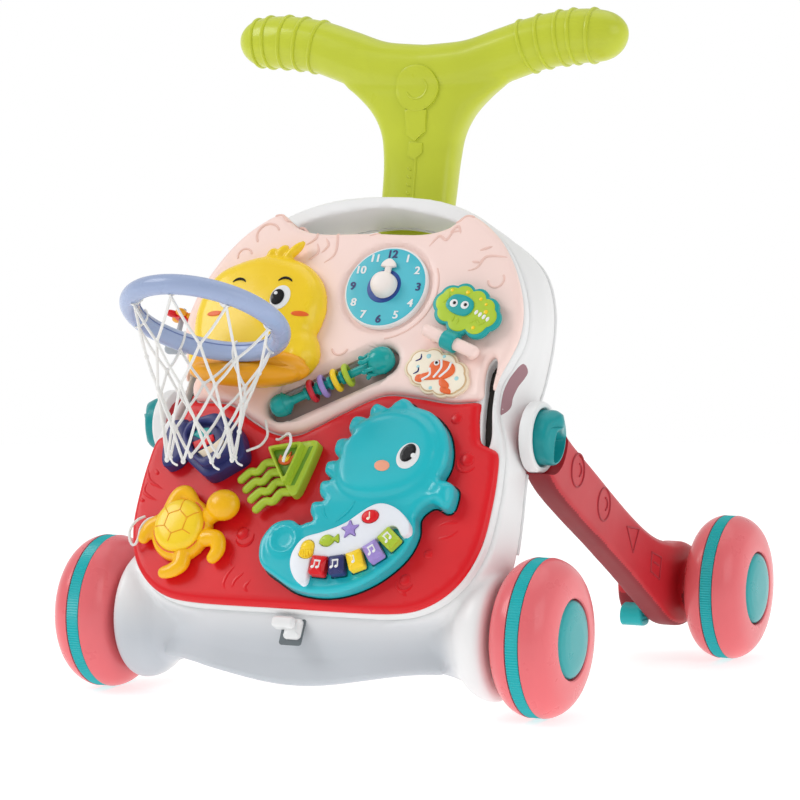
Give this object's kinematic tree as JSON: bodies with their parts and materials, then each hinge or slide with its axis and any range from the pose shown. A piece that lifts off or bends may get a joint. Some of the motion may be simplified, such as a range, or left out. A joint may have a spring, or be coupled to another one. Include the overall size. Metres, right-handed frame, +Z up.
{
  "type": "baby walker",
  "caption": "Push-along baby walker with a Y handle, folding rear legs, broad plastic wheels and a leaning, lift-off panel of sea-animal toys with a ball hoop.",
  "frame": {"origin": "on the floor, under the middle of the bounding box", "axes": "+Z up, the walker rolls towards -Y and its panel faces -Y, +X to the right of someone facing the panel"},
  "size_m": [0.4284, 0.4764, 0.4899],
  "materials": {
    "white": "smooth moulded plastic, soft gloss",
    "pink": "smooth moulded plastic, soft gloss",
    "red": "smooth moulded plastic, soft gloss",
    "coral": "smooth moulded plastic, soft gloss",
    "teal": "smooth moulded plastic, soft gloss",
    "lime": "smooth moulded plastic, soft gloss",
    "leg_red": "smooth moulded plastic, soft gloss",
    "yellow": "smooth moulded plastic, soft gloss",
    "orange": "smooth moulded plastic, soft gloss",
    "lilac": "smooth moulded plastic, soft gloss",
    "navy": "smooth moulded plastic, soft gloss",
    "green": "smooth moulded plastic, soft gloss",
    "sea": "smooth moulded plastic, soft gloss",
    "steel": "ground",
    "grey": "smooth moulded plastic, soft gloss",
    "cord": "braided white nylon",
    "purple": "smooth moulded plastic, soft gloss",
    "sky": "smooth moulded plastic, soft gloss"
  },
  "bodies": {
    "base": {"frame_shell": "white", "rear_cover": "white", "battery_door": "white", "front_axle": "steel", "handle": "lime", "spinner_post": "grey"},
    "front_wheel_left": {"wheel_front_left": "coral", "hub_cap_front_left": "teal"},
    "front_wheel_right": {"wheel_front_right": "coral", "hub_cap_front_right": "teal"},
    "leg_left": {"rear_leg_left": "leg_red", "pivot_cover_left": "white", "rear_axle_left": "steel"},
    "leg_right": {"rear_leg_right": "leg_red", "pivot_cover_right": "white", "rear_axle_right": "steel"},
    "rear_wheel_left": {"wheel_rear_left": "coral", "hub_cap_rear_left": "teal"},
    "rear_wheel_right": {"wheel_rear_right": "coral", "hub_cap_rear_right": "teal"},
    "lever_left": {"speed_lever_left": "teal"},
    "lever_right": {"speed_lever_right": "teal"},
    "knob_left": {"lock_knob_left": "teal"},
    "knob_right": {"lock_knob_right": "teal"},
    "panel": {"panel_tray": "white", "panel_upper": "pink", "panel_lower": "red", "duck_head": "yellow", "duck_beak": "orange", "card_bar": "pink", "picture_plate": "orange", "clock_dial": "sky", "seahorse_body": "sea", "key_plate": "white"},
    "latch": {"release_latch": "white"},
    "basket": {"hoop": "lilac", "net": "cord"},
    "clock_hand": {"clock_knob": "pink"},
    "card": {"flip_card": "green"},
    "roller": {"bead_rod": "teal"},
    "ring_1": {"bead_ring_1": "red"},
    "ring_2": {"bead_ring_2": "purple"},
    "ring_3": {"bead_ring_3": "yellow"},
    "ring_4": {"bead_ring_4": "green"},
    "key_1": {"piano_key_1": "red"},
    "key_2": {"piano_key_2": "navy"},
    "key_3": {"piano_key_3": "yellow"},
    "key_4": {"piano_key_4": "purple"},
    "key_5": {"piano_key_5": "green"},
    "octopus_button": {"button_octopus": "yellow"},
    "fish_button": {"button_fish": "green"},
    "star_button": {"button_star": "purple"},
    "fruit_button": {"button_fruit": "red"},
    "fish_piece": {"fish_block": "navy", "cord_fish": "cord"},
    "jellyfish_piece": {"jellyfish_block": "green", "cord_jellyfish": "cord"},
    "turtle_piece": {"turtle_block": "yellow", "cord_turtle": "cord"},
    "spinner": {"spinner_petals": "orange"}
  },
  "joints": [
    {"name": "front_wheel_left_spin", "type": "hinge", "parent": "base", "child": "front_wheel_left", "pos_m": [-0.169, -0.136, 0.055], "axis": [1, 0, 0], "continuous": true},
    {"name": "leg_left_fold", "type": "hinge", "parent": "base", "child": "leg_left", "pos_m": [-0.1465, -0.086, 0.187], "axis": [-1, 0, 0], "range_deg": [0, 28]},
    {"name": "rear_wheel_left_spin", "type": "hinge", "parent": "leg_left", "child": "rear_wheel_left", "pos_m": [-0.19, 0.183, 0.055], "axis": [1, 0, 0], "continuous": true},
    {"name": "speed_lever_left_turn", "type": "hinge", "parent": "leg_left", "child": "lever_left", "pos_m": [-0.124, 0.147, 0.044], "axis": [1, 0, 0], "range_deg": [0, 12]},
    {"name": "lock_knob_left_turn", "type": "hinge", "parent": "leg_left", "child": "knob_left", "pos_m": [-0.151, -0.086, 0.187], "axis": [1, 0, 0], "range_deg": [0, 45]},
    {"name": "front_wheel_right_spin", "type": "hinge", "parent": "base", "child": "front_wheel_right", "pos_m": [0.169, -0.136, 0.055], "axis": [1, 0, 0], "continuous": true},
    {"name": "leg_right_fold", "type": "hinge", "parent": "base", "child": "leg_right", "pos_m": [0.1465, -0.086, 0.187], "axis": [-1, 0, 0], "range_deg": [0, 28]},
    {"name": "rear_wheel_right_spin", "type": "hinge", "parent": "leg_right", "child": "rear_wheel_right", "pos_m": [0.19, 0.183, 0.055], "axis": [1, 0, 0], "continuous": true},
    {"name": "speed_lever_right_turn", "type": "hinge", "parent": "leg_right", "child": "lever_right", "pos_m": [0.124, 0.147, 0.044], "axis": [1, 0, 0], "range_deg": [0, 12]},
    {"name": "lock_knob_right_turn", "type": "hinge", "parent": "leg_right", "child": "knob_right", "pos_m": [0.151, -0.086, 0.187], "axis": [1, 0, 0], "range_deg": [0, 45]},
    {"name": "panel_lift_off", "type": "slide", "parent": "base", "child": "panel", "axis": [0, -0.8829, 0.4695], "range_m": [0, 0.05]},
    {"name": "latch_push", "type": "slide", "parent": "base", "child": "latch", "axis": [0, -0.4695, -0.8829], "range_m": [0, 0.003], "stiffness_N_per_m": 400},
    {"name": "hoop_plug_out", "type": "slide", "parent": "panel", "child": "basket", "axis": [0, -0.8829, 0.4695], "range_m": [0, 0.03]},
    {"name": "clock_hand_turn", "type": "hinge", "parent": "panel", "child": "clock_hand", "pos_m": [0.025, -0.07925, 0.29042], "axis": [0, -0.8829, 0.4695], "continuous": true},
    {"name": "flip_card_turn", "type": "hinge", "parent": "panel", "child": "card", "pos_m": [0.0855, -0.10376, 0.25305], "axis": [0.9267, -0.1764, -0.3317], "range_deg": [0, 175]},
    {"name": "bead_rod_spin", "type": "hinge", "parent": "panel", "child": "roller", "pos_m": [-0.002, -0.11257, 0.22263], "axis": [0.8841, 0.2194, 0.4126], "continuous": true},
    {"name": "bead_ring_1_spin", "type": "hinge", "parent": "panel", "child": "ring_1", "pos_m": [-0.01526, -0.11586, 0.21644], "axis": [0.8841, 0.2194, 0.4126], "continuous": true},
    {"name": "bead_ring_2_spin", "type": "hinge", "parent": "panel", "child": "ring_2", "pos_m": [-0.00748, -0.11393, 0.22007], "axis": [0.8841, 0.2194, 0.4126], "continuous": true},
    {"name": "bead_ring_3_spin", "type": "hinge", "parent": "panel", "child": "ring_3", "pos_m": [0.00154, -0.1117, 0.22428], "axis": [0.8841, 0.2194, 0.4126], "continuous": true},
    {"name": "bead_ring_4_spin", "type": "hinge", "parent": "panel", "child": "ring_4", "pos_m": [0.00949, -0.10972, 0.228], "axis": [0.8841, 0.2194, 0.4126], "continuous": true},
    {"name": "piano_key_1_press", "type": "slide", "parent": "panel", "child": "key_1", "axis": [0, 0.8829, -0.4695], "range_m": [0, 0.0015], "stiffness_N_per_m": 300},
    {"name": "piano_key_2_press", "type": "slide", "parent": "panel", "child": "key_2", "axis": [0, 0.8829, -0.4695], "range_m": [0, 0.0015], "stiffness_N_per_m": 300},
    {"name": "piano_key_3_press", "type": "slide", "parent": "panel", "child": "key_3", "axis": [0, 0.8829, -0.4695], "range_m": [0, 0.0015], "stiffness_N_per_m": 300},
    {"name": "piano_key_4_press", "type": "slide", "parent": "panel", "child": "key_4", "axis": [0, 0.8829, -0.4695], "range_m": [0, 0.0015], "stiffness_N_per_m": 300},
    {"name": "piano_key_5_press", "type": "slide", "parent": "panel", "child": "key_5", "axis": [0, 0.8829, -0.4695], "range_m": [0, 0.0015], "stiffness_N_per_m": 300},
    {"name": "button_octopus_press", "type": "slide", "parent": "panel", "child": "octopus_button", "axis": [0, 0.8829, -0.4695], "range_m": [0, 0.0015], "stiffness_N_per_m": 300},
    {"name": "button_fish_press", "type": "slide", "parent": "panel", "child": "fish_button", "axis": [0, 0.8829, -0.4695], "range_m": [0, 0.0015], "stiffness_N_per_m": 300},
    {"name": "button_star_press", "type": "slide", "parent": "panel", "child": "star_button", "axis": [0, 0.8829, -0.4695], "range_m": [0, 0.0015], "stiffness_N_per_m": 300},
    {"name": "button_fruit_press", "type": "slide", "parent": "panel", "child": "fruit_button", "axis": [0, 0.8829, -0.4695], "range_m": [0, 0.0015], "stiffness_N_per_m": 300},
    {"name": "fish_block_lift", "type": "slide", "parent": "panel", "child": "fish_piece", "axis": [0, -0.8829, 0.4695], "range_m": [0, 0.03], "deforming": ["net"]},
    {"name": "jellyfish_block_lift", "type": "slide", "parent": "panel", "child": "jellyfish_piece", "axis": [0, -0.8829, 0.4695], "range_m": [0, 0.03]},
    {"name": "turtle_block_lift", "type": "slide", "parent": "panel", "child": "turtle_piece", "axis": [0, -0.8829, 0.4695], "range_m": [0, 0.03]},
    {"name": "spinner_turn", "type": "hinge", "parent": "base", "child": "spinner", "pos_m": [-0.15, -0.06585, 0.25725], "axis": [0, 0.4695, 0.8829], "continuous": true}
  ]
}
